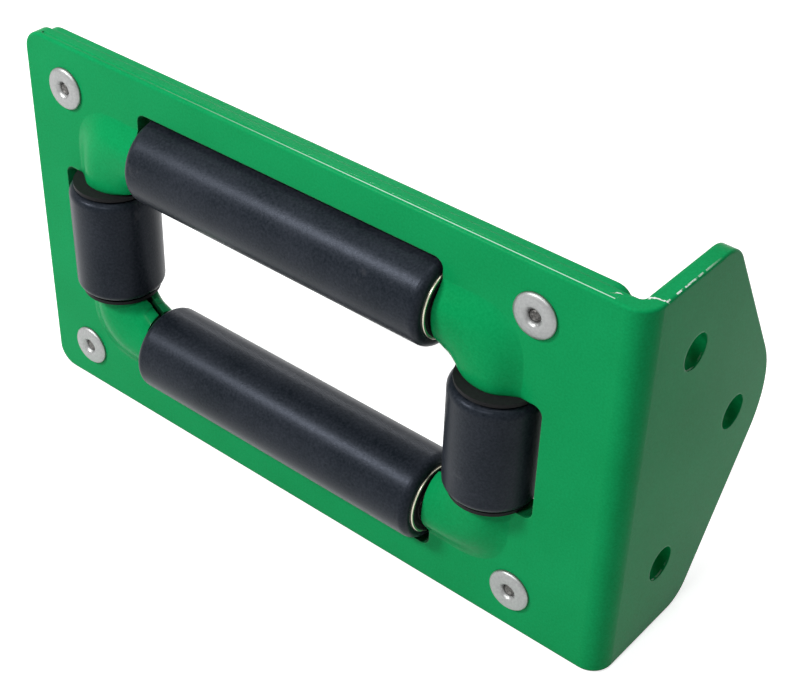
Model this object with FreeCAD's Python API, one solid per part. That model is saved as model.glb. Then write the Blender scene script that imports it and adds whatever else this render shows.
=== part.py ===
import FreeCAD, Part
import os
from math import sqrt, tan, acos, sin, cos, radians

# Roller rope guide: two formed steel sheets clamp four free-running rollers round a rope opening.
# Origin at the centre of the opening, half way through the pair of sheets.
# +X points to the mounting flange, +Y away from the front face, +Z up. Millimetres.

# Steel sheets
FACE_T = 5.0             # front sheet, with the flange
BACK_T = 3.0             # back sheet
SHELL_T = 3.2            # sheet after forming, at the crown of an elbow
BEND_RI = 1.8            # inside radius of the flange bend
CORNER_R = 6.5           # corners at the left end
BACK_CORNER_R = 5.0      # corners of the back sheet at the bend
EDGE_R = 0.8             # rounded outer rim of both sheets
GROOVE_R = 0.55          # fine groove along the top rim
GROOVE_Y = 2.0           # behind the front face
GROOVE_END = 10.6        # groove stops short of the flange's outer face
RIM_TOP = 11.3           # window edge to the top edge
RIM_BOTTOM = 12.8        # window edge to the bottom edge
RIM_LEFT = 13.7          # window edge to the left edge
RIM_RIGHT = 27.0         # window edge to the outer face of the flange
BACK_INSET = 2.5         # back sheet stops short of the left edge
BACK_SETBACK = 2.2       # back sheet stops short of the bend

# Mounting flange
FLANGE_SHOULDER = 38.5   # depth at which the slanted edges start
FLANGE_APEX = 75.0       # where the slanted edges would meet
SHOULDER_R = 10.5
APEX_R = 30.0
HOLE_R = 5.5             # M10 clearance
HOLE_Y = 23.0            # pair of holes near the bend
HOLE_Z = 37.5
APEX_HOLE_Y = 52.0

# Rollers
ROLLER_R = 14.0
LONG_LEN = 110.5
SHORT_LEN = 36.0
ROLLER_EDGE_R = 2.4
TOP_SHIFT = 0.9          # the top roller has slid this far towards the flange
END_GAP = 1.75           # roller end to the end of an elbow
WINDOW_GAP_X = 3.0       # short roller to the window edge
WINDOW_GAP_Z = 1.6       # long roller to the window edge
WINDOW_R = 3.0

# Bearings, 10 x 22 x 6 mm, sealed
SHAFT_R = 5.0
RACE_R = 11.0
RACE_W = 6.0
RACE_LIP = 0.5           # race stands proud of the roller end
RING_SHARE = 0.2         # outer race, of the room between shaft and roller
INNER_SHARE = 0.3        # inner race, of the same room
SEAL_T = 0.8
SEAL_SINK = 0.1
SHOULDER_H = 1.5         # step in the bore that stops the race
BALLS = 8
WASHER_RIM = 2.0         # washer radius beyond the shaft, long rollers
DUST_RIM = 1.6           # dust washer radius short of the roller's, short rollers

# Elbows
ELBOW_R = 15.0           # centre line of the quarter bend
LEAD_X = 2.5             # straight run before the bend, long roller side
LEAD_Z = 0.5             # straight run before the bend, short roller side
LIP_R = 3.3              # inner lip to the centre of the bend, at an elbow's ends
LIP_LAP = 2.0            # the flat sheet's cut lies this far inside the lip
LIP_BULGE = 0.3          # how far the inner lip bows into the opening, as a share
FLARE_W = 11.0           # reach of the outer blend from the centre line, at an elbow's ends
FLARE_EXTRA = 4.8        # further reach half way round
BEND_STEPS = 8           # sections round the quarter bend, less one
SEAT_SIDE = 2.8          # room beside the shaft in the channel
LIP_GAP = 1.0            # inner lip stops short of the roller axes' plane
SHAFT_GRIP = 6.0         # shaft held in an elbow

# Blind rivets
RIVET_R = 3.2
RIVET_HEAD_R = 6.75
RIVET_HEAD_T = 1.6
RIVET_TAIL = 6.0
RIVET_BULB = 1.7
MANDREL_R = 1.9
RIVET_LEFT = 17.2        # from the left edge
RIVET_RIGHT = 31.9       # from the outer face of the flange
RIVET_RIM = 14.5         # from the top or bottom edge

# Clearances
SEAT = 0.15              # shaft in the pressed channel
FIT = 0.02               # races, washers, mandrels
RUN = 0.05               # running faces
RIVET_FIT = 0.1

# Derived positions
WX = LONG_LEN / 2 + END_GAP
WZ = SHORT_LEN / 2 + END_GAP
CX = WX + LEAD_X
CZ = WZ + LEAD_Z
AX = CX + ELBOW_R
AZ = CZ + ELBOW_R
EDGE_X = AX + ROLLER_R + WINDOW_GAP_X
EDGE_Z = AZ + ROLLER_R + WINDOW_GAP_Z
LEFT = -(EDGE_X + RIM_LEFT)
RIGHT = EDGE_X + RIM_RIGHT
TOP = EDGE_Z + RIM_TOP
BOTTOM = -(EDGE_Z + RIM_BOTTOM)
MID_Z = (TOP + BOTTOM) / 2
BEND_RO = BEND_RI + FACE_T
HALF = (FACE_T + BACK_T) / 2
SEAM = HALF - BACK_T
LIP_W = ELBOW_R - LIP_R
CAVITY_W = SHAFT_R + SEAT_SIDE
CAVITY_H = SHAFT_R + SEAT
CROWN = CAVITY_H + SHELL_T
RIVETS_X = (LEFT + RIVET_LEFT, RIGHT - RIVET_RIGHT)
RIVETS_Z = (BOTTOM + RIVET_RIM, TOP - RIVET_RIM)
BORE_R = RACE_R - SHOULDER_H
RING_R = RACE_R - RING_SHARE * (RACE_R - SHAFT_R)
INNER_R = SHAFT_R + INNER_SHARE * (RACE_R - SHAFT_R)
WASHER_R = SHAFT_R + WASHER_RIM
DUST_R = ROLLER_R - DUST_RIM

V = FreeCAD.Vector
X_AXIS = V(1, 0, 0)
Y_AXIS = V(0, 1, 0)
Z_AXIS = V(0, 0, 1)
ORIGIN = V(0, 0, 0)


def rounded_wire(corners, place):
    """Closed wire through (u, v, radius) corners, each rounded; place maps u, v to a point."""
    edges = []
    starts = []
    n = len(corners)
    for i in range(n):
        u, v, r = corners[i]
        here = V(u, v, 0)
        back = V(corners[i - 1][0], corners[i - 1][1], 0) - here
        ahead = V(corners[(i + 1) % n][0], corners[(i + 1) % n][1], 0) - here
        back.normalize()
        ahead.normalize()
        if r == 0:
            starts.append((here, here, None))
            continue
        half = acos(max(-1, min(1, back.dot(ahead)))) / 2
        reach = r / tan(half)
        middle = (back + ahead).normalize()
        depth = sqrt(r * r + reach * reach) - r
        starts.append((here + back * reach, here + ahead * reach, here + middle * depth))
    for i in range(n):
        into, out, mid = starts[i]
        if mid is not None:
            arc = Part.Arc(place(into.x, into.y), place(mid.x, mid.y), place(out.x, out.y))
            edges.append(arc.toShape())
        after = starts[(i + 1) % n][0]
        if (after - out).Length > 1e-6:
            edges.append(Part.makeLine(place(out.x, out.y), place(after.x, after.y)))
    return Part.Wire(edges)


def prism(corners, place, along):
    """Solid extruded from a rounded outline."""
    return Part.Face(rounded_wire(corners, place)).extrude(along)


def turned(points, axis):
    """Solid of revolution from (radius, distance) points about the X or the Y axis."""
    if axis == "x":
        path = [V(d, r, 0) for r, d in points]
        turn = X_AXIS
    else:
        path = [V(r, d, 0) for r, d in points]
        turn = Y_AXIS
    return Part.Face(Part.makePolygon(path + path[:1])).revolve(ORIGIN, turn, 360)


def four_corners(shape):
    """The shape in the first quadrant and its mirror images in the other three."""
    right_low = shape.mirror(ORIGIN, Z_AXIS)
    left_high = shape.mirror(ORIGIN, X_AXIS)
    left_low = right_low.mirror(ORIGIN, X_AXIS)
    return [shape, right_low, left_high, left_low]


def at_rivets(shape):
    """Copies of a shape at the four rivets."""
    copies = []
    for x in RIVETS_X:
        for z in RIVETS_Z:
            one = shape.copy()
            one.translate(V(x, 0, z))
            copies.append(one)
    return copies


def is_outer_rim(shape, edge, outward):
    """True where two faces meet at an angle and one of them looks outward."""
    mid = edge.valueAt((edge.FirstParameter + edge.LastParameter) / 2)
    normals = []
    for face in shape.ancestorsOfType(edge, Part.Face):
        u, v = face.Surface.parameter(mid)
        normals.append(face.normalAt(u, v))
    sharp = len(normals) == 2 and normals[0].dot(normals[1]) < 0.5
    return sharp and max(n.dot(outward) for n in normals) > 0.9


def with_round_rim(sheet, outward):
    """The sheet with the rim of its outer side rounded; outward points away from that side."""
    sheet = sheet.removeSplitter()
    rim = [e for e in sheet.Edges if is_outer_rim(sheet, e, outward)]
    return sheet.makeFillet(min(EDGE_R, 0.45 * BACK_T), rim)


def bezier(poles):
    curve = Part.BezierCurve()
    curve.setPoles(poles)
    return curve.toShape()


def bore_of_elbow():
    """Curved channel of one elbow, a little longer than the elbow at both ends."""
    spare = 1

    def at_x(x):
        return cavity_section(lambda s, h: V(x, -h, AZ + s))

    lead = at_x(WX - spare).extrude(V(LEAD_X + spare, 0, 0))
    bend = at_x(CX).revolve(V(CX, 0, CZ), Y_AXIS, 90)
    down = cavity_section(lambda s, h: V(AX + s, -h, WZ - spare)).extrude(V(0, 0, LEAD_Z + spare))
    return lead.fuse([bend, down]).removeSplitter()


def shell_outline(place, lip, flare):
    """Outside of a pressed half channel: a full inner flank and a softer outer blend into the sheet."""
    k = 0.6
    flank = bezier([place(-lip, 0), place(-lip, k * CROWN), place(-k * lip, CROWN), place(0, CROWN)])
    blend = bezier([place(0, CROWN), place(0.5 * flare, CROWN),
                    place(0.62 * flare, HALF + 0.25), place(flare, HALF - 0.25)])
    side = Part.makeLine(place(flare, HALF - 0.25), place(flare, 0))
    foot = Part.makeLine(place(flare, 0), place(-lip, 0))
    return Part.Wire([flank, blend, side, foot])


def shell_of_elbow():
    """Outside of one elbow, lofted from end to end. Its lip bows across the inner corner, and its
    blend reaches further half way round."""
    rise = LEAD_Z + LIP_R
    run = LEAD_X + LIP_R

    def lip_on_lead(along):
        return LIP_W + along * rise / run

    outlines = []
    for x in (WX, WX + LEAD_X / 2):
        outlines.append(shell_outline(lambda s, h: V(x, -h, AZ + s), lip_on_lead(x - WX), FLARE_W))
    for i in range(BEND_STEPS + 1):
        turn = radians(90.0 * i / BEND_STEPS)
        side, up = sin(turn), cos(turn)
        inner = (LIP_R * run - LEAD_X * rise) / (side * rise + up * run)
        bow = 1 - LIP_BULGE * sin(2 * turn)
        outlines.append(shell_outline(
            lambda s, h: V(CX + (ELBOW_R + s) * side, -h, CZ + (ELBOW_R + s) * up),
            ELBOW_R - inner * bow, FLARE_W + FLARE_EXTRA * sin(2 * turn) ** 2))
    outlines.append(shell_outline(lambda s, h: V(AX + s, -h, WZ), LIP_W, FLARE_W))
    return Part.makeLoft(outlines, True)


def cavity_section(place):
    """Inside of the closed channel that holds the shaft ends."""
    k = 0.5523
    w = CAVITY_W
    h = CAVITY_H
    arcs = []
    for a, b in ((1, 1), (-1, -1)):
        arcs.append(bezier([place(a * w, 0), place(a * w, b * k * h), place(a * k * w, b * h), place(0, b * h)]))
        arcs.append(bezier([place(0, b * h), place(-a * k * w, b * h), place(-a * w, b * k * h), place(-a * w, 0)]))
    return Part.Face(Part.Wire(Part.__sortEdges__(arcs)))


def window_outline():
    """Rope opening and roller windows in one outline, notched where the elbow lips stand."""
    lip_x = AX - LIP_W + LIP_LAP
    lip_z = AZ - LIP_W + LIP_LAP
    quarter = [(WX, EDGE_Z, WINDOW_R), (WX, lip_z, 0), (lip_x, lip_z, LIP_R), (lip_x, WZ, 0),
               (EDGE_X, WZ, WINDOW_R)]
    right = quarter + [(x, -z, r) for x, z, r in reversed(quarter)]
    return right + [(-x, z, r) for x, z, r in reversed(right)]


def lip_slot():
    """Strip taken off the inner lip of one elbow, in the plane of the roller axes."""
    reach = ELBOW_R - SHAFT_R / 2
    low = V(CX, -LIP_GAP, CZ)
    height = LIP_GAP + SEAM + 1
    slot = Part.makeCylinder(reach, height, low, Y_AXIS)
    over = Part.makeBox(LEAD_X + reach + 1, height, reach, V(WX - 1, -LIP_GAP, CZ - reach))
    beside = Part.makeBox(LEAD_X + 1, height, reach + 1, V(WX - 1, -LIP_GAP, CZ - 1))
    keep = Part.makeBox(3 * reach, height, 3 * reach, V(WX - 1, -LIP_GAP, WZ - 1))
    return slot.fuse([over, beside]).common(keep)


def formed(sheet, inner_side):
    """Cut the windows in a flat sheet and press its four elbows; nothing stays beyond its inner side."""
    through = V(0, 2 * HALF, 0)
    window = prism(window_outline(), lambda u, v: V(u, -HALF - 1, v), through)
    sheet = sheet.cut(window)
    sheet = sheet.fuse(four_corners(shell_of_elbow()))
    sheet = sheet.cut(four_corners(bore_of_elbow()))
    sheet = sheet.cut(four_corners(lip_slot()))
    hole = Part.makeCylinder(RIVET_R + RIVET_FIT, through.y, V(0, -HALF - 1, 0), Y_AXIS)
    sheet = sheet.cut(at_rivets(hole))
    beyond = Part.makeBox(2 * EDGE_X, HALF, 2 * EDGE_Z, V(-EDGE_X, inner_side, -EDGE_Z))
    return sheet.cut(beyond).removeSplitter()


def bent_sheet():
    """Face and flange in one sheet, bent back at the right end."""
    y0 = -HALF
    inside = RIGHT - FACE_T
    deep = FLANGE_APEX + 5
    c = V(RIGHT - BEND_RO, y0 + BEND_RO, 0)
    s = sqrt(0.5)
    outer = Part.Arc(V(c.x, y0, 0), V(c.x + s * BEND_RO, c.y - s * BEND_RO, 0), V(RIGHT, c.y, 0))
    inner = Part.Arc(V(inside, c.y, 0), V(c.x + s * BEND_RI, c.y - s * BEND_RI, 0), V(c.x, SEAM, 0))
    edges = [
        Part.makeLine(V(LEFT, y0, 0), V(c.x, y0, 0)),
        outer.toShape(),
        Part.makeLine(V(RIGHT, c.y, 0), V(RIGHT, deep, 0)),
        Part.makeLine(V(RIGHT, deep, 0), V(inside, deep, 0)),
        Part.makeLine(V(inside, deep, 0), V(inside, c.y, 0)),
        inner.toShape(),
        Part.makeLine(V(c.x, SEAM, 0), V(LEFT, SEAM, 0)),
        Part.makeLine(V(LEFT, SEAM, 0), V(LEFT, y0, 0)),
    ]
    strip = Part.Face(Part.Wire(edges)).extrude(V(0, 0, TOP - BOTTOM))
    strip.translate(V(0, 0, BOTTOM))
    face = [(LEFT, BOTTOM, CORNER_R), (RIGHT + 5, BOTTOM, 0), (RIGHT + 5, TOP, 0), (LEFT, TOP, CORNER_R)]
    strip = strip.common(prism(face, lambda u, v: V(u, y0 - 1, v), V(0, deep + 10, 0)))
    flange = [(y0 - 5, BOTTOM, 0), (FLANGE_SHOULDER, BOTTOM, SHOULDER_R), (FLANGE_APEX, MID_Z, APEX_R),
              (FLANGE_SHOULDER, TOP, SHOULDER_R), (y0 - 5, TOP, 0)]
    strip = strip.common(prism(flange, lambda u, v: V(LEFT - 1, u, v), V(RIGHT - LEFT + 2, 0, 0)))
    strip = with_round_rim(strip, V(1, -1, 0))
    start = V(LEFT + CORNER_R, y0 + GROOVE_Y, TOP + 0.3 * GROOVE_R)
    return strip.cut(Part.makeCylinder(GROOVE_R, RIGHT - GROOVE_END - start.x, start, X_AXIS))


def front_plate():
    sheet = bent_sheet()
    for y, z in ((HOLE_Y, HOLE_Z), (HOLE_Y, -HOLE_Z), (APEX_HOLE_Y, 0)):
        start = V(RIGHT - FACE_T - 1, y, MID_Z + z)
        sheet = sheet.cut(Part.makeCylinder(HOLE_R, FACE_T + 2, start, X_AXIS))
    return formed(sheet, SEAM)


def back_plate():
    x0 = LEFT + BACK_INSET
    x1 = RIGHT - BEND_RO - BACK_SETBACK
    outline = [(x0, BOTTOM, CORNER_R), (x1, BOTTOM, BACK_CORNER_R), (x1, TOP, BACK_CORNER_R), (x0, TOP, CORNER_R)]
    sheet = prism(outline, lambda u, v: V(u, -HALF, v), V(0, BACK_T, 0))
    return formed(with_round_rim(sheet, -Y_AXIS), -SEAM).mirror(ORIGIN, Y_AXIS)


def rivet_sleeve():
    bore = MANDREL_R + FIT
    front = -HALF - RIVET_HEAD_T
    tail = HALF + RIVET_TAIL
    bulb = RIVET_R + RIVET_BULB
    points = [(bore, -HALF), (bore + 0.6, front), (RIVET_HEAD_R - 1.6, front),
              (RIVET_HEAD_R, front + 0.7), (RIVET_HEAD_R, -HALF), (RIVET_R, -HALF),
              (RIVET_R, HALF), (bulb - 0.6, HALF), (bulb, HALF + 1), (bulb, tail - 2.5),
              (RIVET_R + 0.3, tail), (bore, tail)]
    return turned(points, "y")


def rivet_mandrel():
    front = -HALF - 0.3 * RIVET_HEAD_T
    tail = HALF + RIVET_TAIL
    points = [(0, front), (MANDREL_R - 0.4, front), (MANDREL_R, front + 0.4), (MANDREL_R, tail + FIT),
              (RIVET_R, tail + FIT), (RIVET_R, tail + 1), (RIVET_R - 1, tail + 1.8), (0, tail + 1.8)]
    return turned(points, "y")


def roller_sleeve(length):
    half = length / 2
    seat = half + RACE_LIP - RACE_W
    ring = RACE_R + FIT
    points = [(ring, -half), (ROLLER_R, -half), (ROLLER_R, half), (ring, half), (ring, seat),
              (BORE_R, seat), (BORE_R, -seat), (ring, -seat)]
    body = turned(points, "x")
    ends = [e for e in body.Edges if hasattr(e.Curve, "Radius")
            and abs(e.Curve.Radius - ROLLER_R) < 1e-6 and abs(abs(e.Curve.Center.x) - half) < 1e-6]
    return body.makeFillet(min(ROLLER_EDGE_R, 0.9 * (ROLLER_R - ring)), ends)


def at_both_ends(shape):
    return [shape, shape.mirror(ORIGIN, X_AXIS)]


def ring_piece(inner, outer, x0, x1):
    return turned([(inner, x0), (outer, x0), (outer, x1), (inner, x1)], "x")


def outer_races(length):
    x1 = length / 2 + RACE_LIP
    return at_both_ends(ring_piece(RING_R, RACE_R, x1 - RACE_W, x1))


def inner_races(length):
    x1 = length / 2 + RACE_LIP
    return at_both_ends(ring_piece(SHAFT_R + FIT, INNER_R, x1 - RACE_W, x1))


def seals(length):
    x1 = length / 2 + RACE_LIP - SEAL_SINK
    x0 = length / 2 + RACE_LIP - RACE_W + SEAL_SINK
    outside = ring_piece(INNER_R + RUN, RING_R - FIT, x1 - SEAL_T, x1)
    inside = ring_piece(INNER_R + RUN, RING_R - FIT, x0, x0 + SEAL_T)
    return at_both_ends(outside) + at_both_ends(inside)


def balls(length):
    x = length / 2 + RACE_LIP - RACE_W / 2
    track = (INNER_R + RING_R) / 2
    ball = Part.makeSphere((RING_R - INNER_R) / 2 - FIT, V(x, track, 0))
    around = []
    for i in range(BALLS):
        one = ball.copy()
        one.rotate(ORIGIN, X_AXIS, i * 360.0 / BALLS)
        around += at_both_ends(one)
    return around


def washers(length, radius, shift):
    """One washer between each bearing and the elbow next to it."""
    face = length / 2 + RACE_LIP + RUN
    elbow = length / 2 + END_GAP - RUN
    return [ring_piece(SHAFT_R + RUN, radius, face + shift, elbow),
            ring_piece(SHAFT_R + RUN, radius, -elbow, shift - face)]


def shaft(length):
    half = length / 2 + END_GAP + SHAFT_GRIP
    c = 0.6
    points = [(0, -half), (SHAFT_R - c, -half), (SHAFT_R, c - half), (SHAFT_R, half - c),
              (SHAFT_R - c, half), (0, half)]
    return [turned(points, "x")]


def save(name, solids):
    shape = solids[0] if len(solids) == 1 else Part.makeCompound(solids)
    if not shape.isValid():
        raise RuntimeError(name + " is not a valid shape")
    shape.exportStep("parts/" + name + ".step")


def save_roller(side, length, washer, turn, x, z, shift):
    """One roller with its bearings, shaft and washers, carried to its axis."""
    pieces = {
        "roller": [roller_sleeve(length)],
        "shaft": shaft(length),
        "outer_races": outer_races(length),
        "inner_races": inner_races(length),
        "balls": balls(length),
        "seals": seals(length),
        "washers": washers(length, washer, shift),
    }
    for name, solids in pieces.items():
        for solid in solids:
            if name not in ("shaft", "washers"):
                solid.translate(V(shift, 0, 0))
            solid.rotate(ORIGIN, Y_AXIS, turn)
            solid.translate(V(x, 0, z))
        save(side + "_" + name, solids)


os.makedirs("parts", exist_ok=True)
save("front_plate", front_plate().Solids)
save("back_plate", back_plate().Solids)
for part, make in (("rivet_sleeves", rivet_sleeve), ("rivet_mandrels", rivet_mandrel)):
    save(part, at_rivets(make()))
save_roller("top", LONG_LEN, WASHER_R, 0, 0, AZ, TOP_SHIFT)
save_roller("bottom", LONG_LEN, WASHER_R, 0, 0, -AZ, 0)
save_roller("left", SHORT_LEN, DUST_R, 90, -AX, 0, 0)
save_roller("right", SHORT_LEN, DUST_R, 90, AX, 0, 0)
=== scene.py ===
import bpy
from math import pi, radians
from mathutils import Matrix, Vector


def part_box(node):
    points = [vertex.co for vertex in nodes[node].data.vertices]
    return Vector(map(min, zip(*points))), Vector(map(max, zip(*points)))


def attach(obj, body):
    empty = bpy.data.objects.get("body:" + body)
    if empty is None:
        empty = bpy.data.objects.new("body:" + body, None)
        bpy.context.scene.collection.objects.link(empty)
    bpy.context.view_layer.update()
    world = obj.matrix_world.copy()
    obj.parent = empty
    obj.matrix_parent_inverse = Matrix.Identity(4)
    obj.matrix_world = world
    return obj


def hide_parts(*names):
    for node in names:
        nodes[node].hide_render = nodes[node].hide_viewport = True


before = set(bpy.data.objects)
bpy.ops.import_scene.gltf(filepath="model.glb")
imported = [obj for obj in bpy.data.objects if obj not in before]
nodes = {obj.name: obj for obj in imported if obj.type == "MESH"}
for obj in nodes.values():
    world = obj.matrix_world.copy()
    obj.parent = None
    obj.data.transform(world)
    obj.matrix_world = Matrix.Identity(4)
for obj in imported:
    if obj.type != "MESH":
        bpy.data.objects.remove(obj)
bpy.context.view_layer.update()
scene = bpy.context.scene

# Camera
# Stands right of, in front of and above the guide, at the angle of the photograph.
camera = bpy.data.cameras.new("camera")
camera.lens = 76.26
camera.sensor_width = 36
camera.clip_start = 0.01
viewer = bpy.data.objects.new("camera", camera)
viewer.location = (0.2715, -0.2929, 0.2944)
viewer.rotation_euler = [radians(a) for a in (52.764, -1.560, 39.563)]
scene.collection.objects.link(viewer)
scene.camera = viewer
scene.view_settings.view_transform = "Standard"

# Studio
# A white room with a soft light to the front left, a smaller one in front, and weaker ones above and behind.
# The guide stands on the lower edge of its two sheets, on pale paper.
ROOM_LIGHT = 0.07                 # how much the white room lights the guide
PAPER_SIZE = 3
PAPER_GAP = 0.0002                # below the sheets' lower edge
PAPER_GREY = 0.75
PAPER_GLOW = 0.75
GLOW_START, GLOW_END = 0.3, 1.2   # distances from the guide between which the glow grows
GLOW_NEAR, GLOW_FAR = 1.0, 1.4


def node(tree, kind, **values):
    """A new node, with each value given to its setting or its socket of that name."""
    made = tree.nodes.new(kind)
    for key, value in values.items():
        if hasattr(made, key):
            setattr(made, key, value)
        else:
            made.inputs[key].default_value = value
    return made


def feed(tree, value, socket):
    """Link the value to a socket if it is another node's output, or else set it there."""
    if isinstance(value, bpy.types.NodeSocket):
        tree.links.new(value, socket)
    else:
        socket.default_value = value


def reckon(tree, operation, *given):
    """What a Math node makes of its inputs."""
    made = node(tree, "ShaderNodeMath", operation=operation)
    for value, socket in zip(given, made.inputs):
        feed(tree, value, socket)
    return made.outputs[0]


def ramp(tree, value, low, high, at_low=0.0, at_high=1.0):
    """A number that runs from at_low to at_high while the value runs from low to high."""
    made = node(tree, "ShaderNodeMapRange")
    ends = (value, low, high, at_low, at_high)
    for end, key in zip(ends, ("Value", "From Min", "From Max", "To Min", "To Max")):
        feed(tree, end, made.inputs[key])
    return made.outputs["Result"]


def material(name, metallic, roughness, specular):
    made = bpy.data.materials.new(name)
    made.use_nodes = True
    shader = made.node_tree.nodes["Principled BSDF"]
    shader.inputs["Metallic"].default_value = metallic
    shader.inputs["Roughness"].default_value = roughness
    shader.inputs["Specular IOR Level"].default_value = specular
    return made, made.node_tree, shader


def white_when_seen(tree, strength, lit, shown):
    """One strength where it is seen straight, in gloss or through glass, and another for its light."""
    path = node(tree, "ShaderNodeLightPath")
    seen = path.outputs["Is Camera Ray"]
    for ray in ("Is Glossy Ray", "Is Transmission Ray"):
        seen = reckon(tree, "MAXIMUM", seen, path.outputs[ray])
    tree.links.new(ramp(tree, seen, 0.0, 1.0, lit, shown), strength)


def soft_light(name, place, aim, width, height, power):
    data = bpy.data.lights.new(name, "AREA")
    data.shape = "RECTANGLE"
    data.size = width
    data.size_y = height
    data.energy = power
    lamp = bpy.data.objects.new(name, data)
    lamp.location = place
    lamp.rotation_euler = (Vector(aim) - Vector(place)).to_track_quat("-Z", "Y").to_euler()
    scene.collection.objects.link(lamp)


world = bpy.data.worlds.new("white room")
scene.world = world
world.use_nodes = True
white = world.node_tree.nodes["Background"]
white.inputs["Color"].default_value = (1, 1, 1, 1)
white_when_seen(world.node_tree, white.inputs["Strength"], ROOM_LIGHT, 1.0)

soft_light("front left", (-0.63, -0.78, 0.85), (0, 0, 0), 0.25, 0.24, 11.8)
soft_light("front", (0.087, -0.87, 0.983), (0, 0, 0), 0.13, 0.13, 4.3)
soft_light("behind left", (-0.58, 0.82, 0.46), (0, 0, 0), 0.4, 0.14, 1.3)
soft_light("behind right", (0.8, 0.75, 0.75), (0.1, 0, 0), 0.12, 0.12, 0.5)
soft_light("overhead", (-0.02, 0.1, 1.2), (0, 0, 0), 0.6, 0.5, 4.2)

bpy.ops.object.select_all(action="DESELECT")
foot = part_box("front_plate")[0][2]
bpy.ops.mesh.primitive_plane_add(size=PAPER_SIZE, location=(0, 0, foot - PAPER_GAP))
floor = bpy.context.object
floor.name = "floor"
paper, tree, shader = material("pale paper", 0.0, 0.9, 0.5)
shader.inputs["Base Color"].default_value = (PAPER_GREY, PAPER_GREY, PAPER_GREY, 1)
# The paper glows more further out, so that its far edge doesn't show against the white room.
spot = node(tree, "ShaderNodeTexCoord")
reach = node(tree, "ShaderNodeVectorMath", operation="LENGTH")
tree.links.new(spot.outputs["Object"], reach.inputs[0])
glow = ramp(tree, reach.outputs["Value"], GLOW_START, GLOW_END, GLOW_NEAR, GLOW_FAR)
tree.links.new(glow, shader.inputs["Emission Color"])
white_when_seen(tree, shader.inputs["Emission Strength"], 0.0, PAPER_GLOW)
floor.data.materials.append(paper)

# Front and back sheets
# Steel sheets 5 mm and 3 mm thick, cut and pressed at four corners; the front one is bent into the flange.
# Coated in glossy green powder, which rounds every cut edge and has a fine orange peel.
EDGE_ROUND = 0.0006
PEEL_DEPTH = 0.0002
# Painted highlight: a pale line along the top rim, where its groove catches the light.
RIM_HIGHLIGHT_COLOUR = (0.5, 0.85, 0.65, 1)
RIM_HIGHLIGHT_Y = -0.0028                   # the painted highlight line, a little behind the front face
RIM_HIGHLIGHT_HALF = 0.0002                 # half its width
RIM_HIGHLIGHT_LOWEST = 0.0614               # it lies on the top rim, above this height
RIM_HIGHLIGHT_START, RIM_HIGHLIGHT_FULL, RIM_HIGHLIGHT_END = -0.05, 0.03, 0.1078
# Painted highlight: pale glints along the top of the bend and along the flange's edge.
GLINT_COLOUR = (0.85, 0.92, 0.88, 1)
GLINT_HALF = 0.00024              # half the width of a narrow painted glint
GLINTS_START_X = 0.1055
GLINTS_TURN_Y = 0.0044            # from here on they follow the flange's edge
GLINTS_FADE_Y, GLINTS_END_Y = 0.012, 0.030
BEND_SLOPE, BEND_Y = 0.45, -0.0511   # their line across the bend: rise in Y along X, and Y where X is 0
BEND_SWAY = 0.005
FLANGE_EDGE_X = 0.1179
UPWARD = 0.25                     # they lie only where the sheet faces up by at least this much
# Painted shade, in the gaps beside the rollers and in the holes.
PAINTED_SHADE = (0.012, 0.03, 0.018, 1)
SHADE_REACH = 0.005


def new_group(name, inputs, outputs):
    group = bpy.data.node_groups.new(name, "ShaderNodeTree")
    for key, kind, value in inputs:
        socket = group.interface.new_socket(key, in_out="INPUT", socket_type=kind)
        if value is not None:
            socket.default_value = value
    for key, kind in outputs:
        group.interface.new_socket(key, in_out="OUTPUT", socket_type=kind)
    return group, group.nodes.new("NodeGroupInput"), group.nodes.new("NodeGroupOutput")


def blend(tree, share, under, over):
    """A colour that goes from under to over as the share goes from 0 to 1."""
    made = node(tree, "ShaderNodeMix", data_type="RGBA")
    for value, key in ((share, "Factor"), (under, "A"), (over, "B")):
        feed(tree, value, made.inputs[key])
    return made.outputs["Result"]


def mottled(tree, dark, light, grain=1000, patch=30):
    """A mottle placed in a material, with its two tones and its sizes of grain and patch."""
    made = node(tree, "ShaderNodeGroup", node_tree=mottle)
    made.inputs["Dark"].default_value = (*dark, 1)
    made.inputs["Light"].default_value = (*light, 1)
    made.inputs["Grain"].default_value = grain
    made.inputs["Patch"].default_value = patch
    return made


def dress(name, made):
    slots = nodes[name].data.materials
    slots.clear()
    slots.append(made)


# A mottle: a colour that wanders between two tones, and a height, both from one grain size.
mottle, given, result = new_group(
    "mottle",
    [("Dark", "NodeSocketColor", None), ("Light", "NodeSocketColor", None),
     ("Grain", "NodeSocketFloat", 1000.0), ("Patch", "NodeSocketFloat", 30.0)],
    [("Color", "NodeSocketColor"), ("Height", "NodeSocketFloat")])
spot = node(mottle, "ShaderNodeTexCoord")
grain = node(mottle, "ShaderNodeTexNoise", Detail=3.0, Roughness=0.6)
patch = node(mottle, "ShaderNodeTexNoise", Detail=2.0)
for noise, key in ((grain, "Grain"), (patch, "Patch")):
    mottle.links.new(spot.outputs["Object"], noise.inputs["Vector"])
    mottle.links.new(given.outputs[key], noise.inputs["Scale"])
both = node(mottle, "ShaderNodeMix", data_type="FLOAT", Factor=0.35)
mottle.links.new(grain.outputs["Fac"], both.inputs["A"])
mottle.links.new(patch.outputs["Fac"], both.inputs["B"])
share = ramp(mottle, both.outputs["Result"], 0.3, 0.7)
tones = blend(mottle, share, given.outputs["Dark"], given.outputs["Light"])
mottle.links.new(tones, result.inputs["Color"])
mottle.links.new(grain.outputs["Fac"], result.inputs["Height"])

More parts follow.
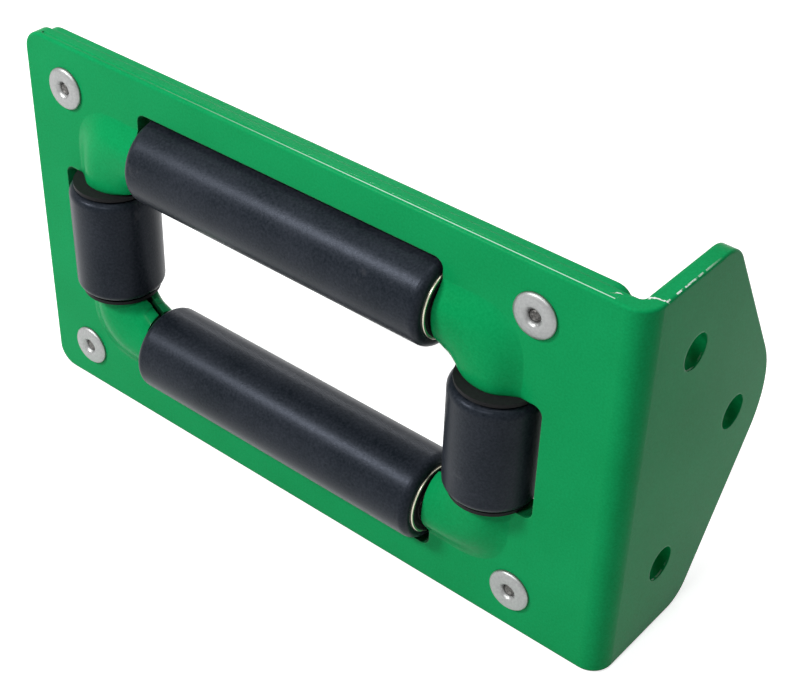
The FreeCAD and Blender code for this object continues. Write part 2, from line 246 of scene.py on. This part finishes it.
paint, tree, shader = material("green powder coat", 0.0, 0.25, 0.025)
body = mottled(tree, (0.002, 0.27, 0.075), (0.006, 0.35, 0.11), 1500, 40)
spot = node(tree, "ShaderNodeTexCoord")
rounded = node(tree, "ShaderNodeBevel", samples=6, Radius=EDGE_ROUND)
peel = node(tree, "ShaderNodeTexNoise", Scale=650.0, Detail=1.0)
tree.links.new(spot.outputs["Object"], peel.inputs["Vector"])
orange_peel = node(tree, "ShaderNodeBump", Strength=0.12, Distance=PEEL_DEPTH)
tree.links.new(peel.outputs["Fac"], orange_peel.inputs["Height"])
tree.links.new(rounded.outputs["Normal"], orange_peel.inputs["Normal"])
tree.links.new(orange_peel.outputs["Normal"], shader.inputs["Normal"])
# The rounded edges shine more than the faces.
flat = node(tree, "ShaderNodeNewGeometry")
turn = node(tree, "ShaderNodeVectorMath", operation="DOT_PRODUCT")
tree.links.new(flat.outputs["True Normal"], turn.inputs[0])
tree.links.new(rounded.outputs["Normal"], turn.inputs[1])
tree.links.new(ramp(tree, turn.outputs["Value"], 0.98, 0.9, 0.0, 0.3), shader.inputs["Coat Weight"])
shader.inputs["Coat Roughness"].default_value = 0.12
# Painted highlight: a pale line along the top rim, where its groove catches the light, fading out towards
# the left.
split = node(tree, "ShaderNodeSeparateXYZ")
tree.links.new(spot.outputs["Object"], split.inputs[0])
along, depth, height = (split.outputs[axis] for axis in "XYZ")
line = reckon(tree, "COMPARE", depth, RIM_HIGHLIGHT_Y, RIM_HIGHLIGHT_HALF)
for mask in (reckon(tree, "GREATER_THAN", height, RIM_HIGHLIGHT_LOWEST), reckon(tree, "LESS_THAN", along, RIM_HIGHLIGHT_END),
             ramp(tree, along, RIM_HIGHLIGHT_START, RIM_HIGHLIGHT_FULL)):
    line = reckon(tree, "MULTIPLY", line, mask)
pale = blend(tree, line, body.outputs["Color"], RIM_HIGHLIGHT_COLOUR)
# Painted highlights: pale glints where rounded edges catch the light, wide ones in a wavy line across the
# top of the bend, and from the turn on narrow ones along the flange's edge, fainter towards its tip.
glint_noise = node(tree, "ShaderNodeTexNoise", Scale=420.0, Detail=2.0)
tree.links.new(spot.outputs["Object"], glint_noise.inputs["Vector"])
slant = reckon(tree, "MULTIPLY_ADD", along, BEND_SLOPE, BEND_Y)
wavy = reckon(tree, "MULTIPLY_ADD", glint_noise.outputs["Fac"], BEND_SWAY, slant)
from_wavy = reckon(tree, "ABSOLUTE", reckon(tree, "SUBTRACT", wavy, depth))
from_edge = reckon(tree, "ABSOLUTE", reckon(tree, "SUBTRACT", along, FLANGE_EDGE_X))
past_turn = reckon(tree, "SUBTRACT", depth, GLINTS_TURN_Y)
before_turn = reckon(tree, "SUBTRACT", GLINTS_TURN_Y, depth)
on_bend = reckon(tree, "MAXIMUM", reckon(tree, "MULTIPLY", from_wavy, 0.5), past_turn)
on_flange = reckon(tree, "MAXIMUM", from_edge, before_turn)
away = reckon(tree, "MINIMUM", on_bend, on_flange)
facing = node(tree, "ShaderNodeSeparateXYZ")
tree.links.new(flat.outputs["True Normal"], facing.inputs[0])
glints = ramp(tree, glint_noise.outputs["Fac"], 0.48, 0.56)
for mask in (reckon(tree, "LESS_THAN", away, GLINT_HALF),
             reckon(tree, "GREATER_THAN", facing.outputs["Z"], UPWARD),
             reckon(tree, "GREATER_THAN", along, GLINTS_START_X),
             ramp(tree, depth, GLINTS_END_Y, GLINTS_FADE_Y)):
    glints = reckon(tree, "MULTIPLY", glints, mask)
glinted = blend(tree, glints, pale, GLINT_COLOUR)
# Painted shade: the colour darkens in the gaps beside the rollers and in the flange's holes, where little
# light reaches.
gap = node(tree, "ShaderNodeAmbientOcclusion", samples=8, Distance=SHADE_REACH)
unshaded = ramp(tree, gap.outputs["AO"], 0.2, 0.6)
tree.links.new(blend(tree, unshaded, PAINTED_SHADE, glinted), shader.inputs["Base Color"])
dress("front_plate", paint)
dress("back_plate", paint)

# Rollers
# Four black plastic sleeves, turned from bar, with a bearing seat bored in each end.
# They turn on sealed ball bearings pressed into the seats.
LONG = 0.1105              # top and bottom rollers
SHORT = 0.036              # left and right rollers
ROLLER_R = 0.014
AXIS_X = 0.0745            # of the short rollers
AXIS_Z = 0.03525           # of the long rollers
TOP_SLIDE = 0.0009         # how far the top roller has slid towards the flange
SIDES = {"top": (LONG, "x", (TOP_SLIDE, 0, AXIS_Z)), "bottom": (LONG, "x", (0, 0, -AXIS_Z)),
         "left": (SHORT, "z", (-AXIS_X, 0, 0)), "right": (SHORT, "z", (AXIS_X, 0, 0))}
RACE_R = 0.011             # outside of the bearing
RACE_W = 0.006
PROUD = 0.0005             # how far the bearing stands out of the roller
FIT = 0.00002
SEAT_STEP = 0.0015         # how much narrower the bore is than the seats
SEAT_EDGE = 0.0002
END_ROUND = 0.0024
FLANK = END_ROUND + 0.0003   # from the end to a ring of edges that keeps the flank straight
PEBBLE_DEPTH = 0.0001
SCUFFED = (0.05, 0.052, 0.06, 1)
TINY = 1e-6


def only(piece):
    """Select one object alone and make it active."""
    bpy.ops.object.select_all(action="DESELECT")
    piece.select_set(True)
    bpy.context.view_layer.objects.active = piece


def turned(name, profile, closed, sides=96):
    """A piece turned about X: a circle drawn out and scaled from step to step of (distance, radius)."""
    bpy.ops.object.select_all(action="DESELECT")
    (x, r), rest = profile[0], profile[1:]
    bpy.ops.mesh.primitive_circle_add(vertices=sides, radius=r, fill_type="NOTHING" if closed else "NGON",
                                      location=(x, 0, 0), rotation=(0, pi / 2, 0))
    piece = bpy.context.object
    piece.name = name
    bpy.ops.object.transform_apply(location=True, rotation=True, scale=True)
    bpy.ops.object.mode_set(mode="EDIT")
    bpy.ops.mesh.select_all(action="SELECT")
    for far, wide in rest:
        bpy.ops.mesh.extrude_region_move(TRANSFORM_OT_translate={"value": (far - x, 0, 0)})
        bpy.ops.transform.resize(value=(1, wide / r, wide / r), center_override=(far, 0, 0))
        x, r = far, wide
    bpy.ops.mesh.select_all(action="SELECT")
    bpy.ops.mesh.remove_doubles(threshold=TINY)
    bpy.ops.mesh.normals_make_consistent(inside=False)
    bpy.ops.object.mode_set(mode="OBJECT")
    return piece


def soften(piece, radius, x, size, steps):
    """Bevel the rings of edges that lie at a radius and a distance each way along X."""
    only(piece)
    bpy.ops.object.mode_set(mode="EDIT")
    bpy.ops.mesh.select_mode(type="EDGE")
    bpy.ops.mesh.select_all(action="DESELECT")
    bpy.ops.object.mode_set(mode="OBJECT")
    verts = piece.data.vertices
    for edge in piece.data.edges:
        ends = [verts[i].co for i in edge.vertices]
        at_radius = all(abs((v.y ** 2 + v.z ** 2) ** 0.5 - radius) < TINY for v in ends)
        at_end = all(abs(abs(v.x) - x) < TINY for v in ends)
        edge.select = at_radius and at_end and abs(ends[0].x - ends[1].x) < TINY
    bpy.ops.object.mode_set(mode="EDIT")
    bpy.ops.mesh.bevel(offset=size, segments=steps, affect="EDGES")
    bpy.ops.object.mode_set(mode="OBJECT")


def smooth(piece, angle=35):
    only(piece)
    bpy.ops.object.shade_smooth_by_angle(angle=radians(angle))


def copy_to(piece, name, axis, place):
    """A copy with its own mesh, laid along X or stood along Z at its place."""
    copy = piece.copy()
    copy.data = piece.data.copy()
    copy.name = name
    scene.collection.objects.link(copy)
    only(copy)
    if axis == "z":
        copy.rotation_euler = (0, -pi / 2, 0)
    copy.location = place
    bpy.ops.object.transform_apply(location=True, rotation=True, scale=True)
    return copy


# The plastic is dull, faintly blue and pebbled, with a few scuffs.
plastic, tree, shader = material("black plastic", 0.0, 0.33, 0.11)
shader.inputs["Specular Tint"].default_value = (0.72, 0.8, 1.0, 1)
skin = mottled(tree, (0.003, 0.006, 0.009), (0.025, 0.029, 0.038), 1300, 60)
spot = node(tree, "ShaderNodeTexCoord")
scuffs = node(tree, "ShaderNodeTexNoise", Scale=90.0, Detail=6.0, Roughness=0.7)
tree.links.new(spot.outputs["Object"], scuffs.inputs["Vector"])
few = ramp(tree, scuffs.outputs["Fac"], 0.63, 0.72, 0.0, 0.6)
worn = blend(tree, few, skin.outputs["Color"], SCUFFED)
tree.links.new(worn, shader.inputs["Base Color"])
rough = ramp(tree, skin.outputs["Height"], 0.0, 1.0, 0.22, 0.44)
tree.links.new(rough, shader.inputs["Roughness"])
pebble = node(tree, "ShaderNodeBump", Strength=0.35, Distance=PEBBLE_DEPTH)
tree.links.new(skin.outputs["Height"], pebble.inputs["Height"])
tree.links.new(pebble.outputs["Normal"], shader.inputs["Normal"])

sleeves = {}
for length in (LONG, SHORT):
    end = length / 2
    seat = end + PROUD - RACE_W
    bore = RACE_R - SEAT_STEP
    ring = RACE_R + FIT
    flank = end - FLANK
    flanks = [(-end, ROLLER_R), (-flank, ROLLER_R), (flank, ROLLER_R), (end, ROLLER_R)]
    seats = [(end, ring), (seat, ring), (seat, bore), (-seat, bore), (-seat, ring), (-end, ring)]
    sleeve = turned("sleeve", [(-end, ring)] + flanks + seats, True, 128)
    soften(sleeve, ROLLER_R, end, END_ROUND, 7)
    soften(sleeve, ring, end, SEAT_EDGE, 2)
    smooth(sleeve)
    sleeves[length] = sleeve
for side, (length, axis, place) in SIDES.items():
    piece = copy_to(sleeves[length], side + "_sleeve", axis, place)
    piece.data.materials.append(plastic)
    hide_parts(side + "_roller")
    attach(piece, side + "_roller")
for sleeve in sleeves.values():
    bpy.data.objects.remove(sleeve)

# Bearings
# Sealed steel ball bearings, 10 x 22 x 6 mm: two ground rings with a black rubber seal in each face.
# The outer ring is pressed into the roller and stands a little proud of its end.
INNER_R = 0.0068           # outside of the inner ring
RING_R = 0.0098            # inside of the outer ring
RING_OUTER_EDGE = 0.0003
RING_INNER_EDGE = 0.0001
SEAL_T = 0.0008
SEAL_SUNK = 0.0001
SEAL_BORE_GAP = 0.00005
# Steps of the seal's face, as the depth under it and how far outside the bore or inside the rim they lie.
WIPER = [(SEAL_T, 0), (0.0002, 0), (0, 0.0003), (0, 0.0008), (0.00025, 0.0010)]
VALLEY = [(0.00025, 0.0009), (0, 0.0007)]
# Steps of the lip that laps over the ring, as the height over the ring and how far outside the rim they lie.
LAP = [(0.00012, -0.0003), (0.00012, 0.0004), (0.00001, 0.00055), (0.00001, 0)]


def mottled_material(name, metallic, roughness, specular, dark, light, grain=1000):
    """A material whose only pattern is a mottle between two tones."""
    made, tree, shader = material(name, metallic, roughness, specular)
    skin = mottled(tree, dark, light, grain)
    tree.links.new(skin.outputs["Color"], shader.inputs["Base Color"])
    return made


def at_both_ends(piece):
    """Add the mirror image of the piece at the roller's other end."""
    only(piece)
    bpy.ops.object.mode_set(mode="EDIT")
    bpy.ops.mesh.select_all(action="SELECT")
    bpy.ops.mesh.duplicate()
    bpy.ops.transform.resize(value=(-1, 1, 1), center_override=(0, 0, 0))
    bpy.ops.mesh.select_all(action="SELECT")
    bpy.ops.mesh.normals_make_consistent(inside=False)
    bpy.ops.object.mode_set(mode="OBJECT")


steel = mottled_material("bearing steel", 1.0, 0.28, 0.5,
                         (0.50, 0.47, 0.36), (0.72, 0.69, 0.56), 2500)
rubber = mottled_material("black seal rubber", 0.0, 0.5, 0.08,
                          (0.008, 0.008, 0.009), (0.016, 0.016, 0.017), 2200)
# The side rollers' rings are given a much darker steel than the long rollers' rings.
dark_ring_steel = mottled_material("dark bearing steel", 0.7, 0.45, 0.1,
                               (0.010, 0.010, 0.011), (0.020, 0.020, 0.022), 2500)
ring_steel = {"x": steel, "z": dark_ring_steel}

for side, (length, axis, place) in SIDES.items():
    end = length / 2 + PROUD
    back = end - RACE_W
    section = [(back, RING_R), (end, RING_R), (end, RACE_R), (back, RACE_R), (back, RING_R)]
    ring = turned("ring", section, True)
    soften(ring, RACE_R, end, RING_OUTER_EDGE, 3)
    soften(ring, RING_R, end, RING_INNER_EDGE, 1)
    smooth(ring)
    at_both_ends(ring)
    piece = copy_to(ring, side + "_bearing_rings", axis, place)
    piece.data.materials.append(ring_steel[axis])
    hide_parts(side + "_outer_races")
    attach(piece, side + "_roller")
    bpy.data.objects.remove(ring)
    # The outer seal.
    face = end - SEAL_SUNK
    bore = INNER_R + SEAL_BORE_GAP
    rim = RING_R - FIT
    profile = [(face - under, bore + wider) for under, wider in WIPER]
    profile += [(face - under, rim - narrower) for under, narrower in VALLEY]
    profile += [(end + over, rim + wider) for over, wider in LAP]
    profile += [(face - SEAL_T, rim), (face - SEAL_T, bore)]
    seal = turned("seal", profile, True)
    # The seal on the bearing's inner side, a plain ring.
    far = back + SEAL_SUNK
    near = far + SEAL_T
    inside = turned("inside seal", [(far, bore), (near, bore), (near, rim), (far, rim), (far, bore)], True)
    only(seal)
    inside.select_set(True)
    bpy.ops.object.join()
    smooth(seal, 50)
    at_both_ends(seal)
    piece = copy_to(seal, side + "_rubber_seals", axis, place)
    piece.data.materials.append(rubber)
    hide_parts(side + "_seals")
    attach(piece, side + "_roller")
    bpy.data.objects.remove(seal)
    dress(side + "_inner_races", steel)
    dress(side + "_balls", steel)

# Shafts and washers
# Plain ground steel bars clamped in the pressed channels, with a black nylon washer at each roller end.
# The short rollers' washers are wide and keep dirt out of the bearings.
bar = mottled_material("ground bar", 1.0, 0.3, 0.5,
                       (0.42, 0.42, 0.43), (0.6, 0.6, 0.61), 2000)
nylon = mottled_material("black nylon", 0.0, 0.5, 0.08,
                         (0.010, 0.010, 0.011), (0.018, 0.018, 0.019))
for side in SIDES:
    dress(side + "_shaft", bar)
    dress(side + "_washers", nylon)

# Blind rivets
# Four aluminium rivet bodies, set from the front: a low domed head, a tail swollen behind the back sheet.
# Each mandrel is steel and broke off inside its dished hole when the rivet was pulled.
HALF = 0.004               # half the thickness of the two sheets
HEAD_R = 0.00675
HEAD_T = 0.0016
SHANK_R = 0.0032
STEM_R = 0.0019
CORE_R = 0.0005            # middle of the torn end and of the tip
TAIL_L = 0.006             # rivet body behind the sheets
KNOB_L = 0.007             # mandrel behind the sheets, up to its taper
TAPER = 0.001
TIP_L = 0.0078             # mandrel behind the sheets, up to its tip
RIVETS = [(x, z) for x in (-0.088, 0.0866) for z in (-0.04915, 0.04765)]   # their centres
# Steps of the head, as a share of its thickness and how far outside the stem or inside the rim they lie.
DISH = [(0.35, 0.0001), (0.78, 0.0007), (0.94, 0.0011), (1, 0.0015), (0.98, 0.0022)]
DOME = [(0.88, 0.0013), (0.7, 0.0005), (0.45, 0.0001), (0.25, 0), (0, 0.0001)]
# Steps of the tail, as the distance behind the sheets and how far outside the shank they lie.
TAIL = [(0, 0.0011), (0.001, 0.0017), (0.0035, 0.0017), (0.005, 0.0011), (TAIL_L, 0.0003)]
# Steps of the torn stem in the dish, as a share of the head's thickness and a radius.
TEAR = [(0.1, CORE_R), (0.15, 0.0009), (0.35, 0.0013), (0.05, STEM_R)]


def at_rivets(piece, name):
    """Four copies of a turned piece, turned to face the front, joined as one."""
    copies = []
    for x, z in RIVETS:
        copy = piece.copy()
        copy.data = piece.data.copy()
        scene.collection.objects.link(copy)
        copy.rotation_euler = (0, 0, -pi / 2)
        copy.location = (x, 0, z)
        copies.append(copy)
    only(copies[0])
    for copy in copies:
        copy.select_set(True)
    bpy.ops.object.transform_apply(location=True, rotation=True, scale=True)
    bpy.ops.object.join()
    copies[0].name = name
    bpy.data.objects.remove(piece)
    return copies[0]


hole = STEM_R + FIT
profile = [(HALF, hole)]
profile += [(HALF + share * HEAD_T, STEM_R + wider) for share, wider in DISH]
profile += [(HALF + share * HEAD_T, HEAD_R - narrower) for share, narrower in DOME]
profile += [(HALF, SHANK_R), (-HALF, SHANK_R)]
profile += [(-HALF - behind, SHANK_R + wider) for behind, wider in TAIL]
profile += [(-HALF - TAIL_L, hole), (HALF, hole)]
head = turned("head", profile, True, 64)
smooth(head, 50)

tail = HALF + TAIL_L + FIT
knob = HALF + KNOB_L
tip = HALF + TIP_L
profile = [(HALF + share * HEAD_T, radius) for share, radius in TEAR]
profile += [(-tail, STEM_R), (-tail, SHANK_R), (-knob, SHANK_R), (-tip, SHANK_R - TAPER), (-tip, CORE_R)]
stem = turned("stem", profile, False, 48)
smooth(stem, 40)

aluminium = mottled_material("rivet aluminium", 0.85, 0.42, 0.5,
                             (0.26, 0.265, 0.265), (0.38, 0.385, 0.38), 1500)
torn_steel = mottled_material("broken mandrel", 0.9, 0.5, 0.5,
                              (0.02, 0.02, 0.02), (0.26, 0.25, 0.24), 1700)
heads = at_rivets(head, "rivet_heads")
heads.data.materials.append(aluminium)
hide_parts("rivet_sleeves")
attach(heads, "frame")
stems = at_rivets(stem, "rivet_stems")
stems.data.materials.append(torn_steel)
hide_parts("rivet_mandrels")
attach(stems, "frame")
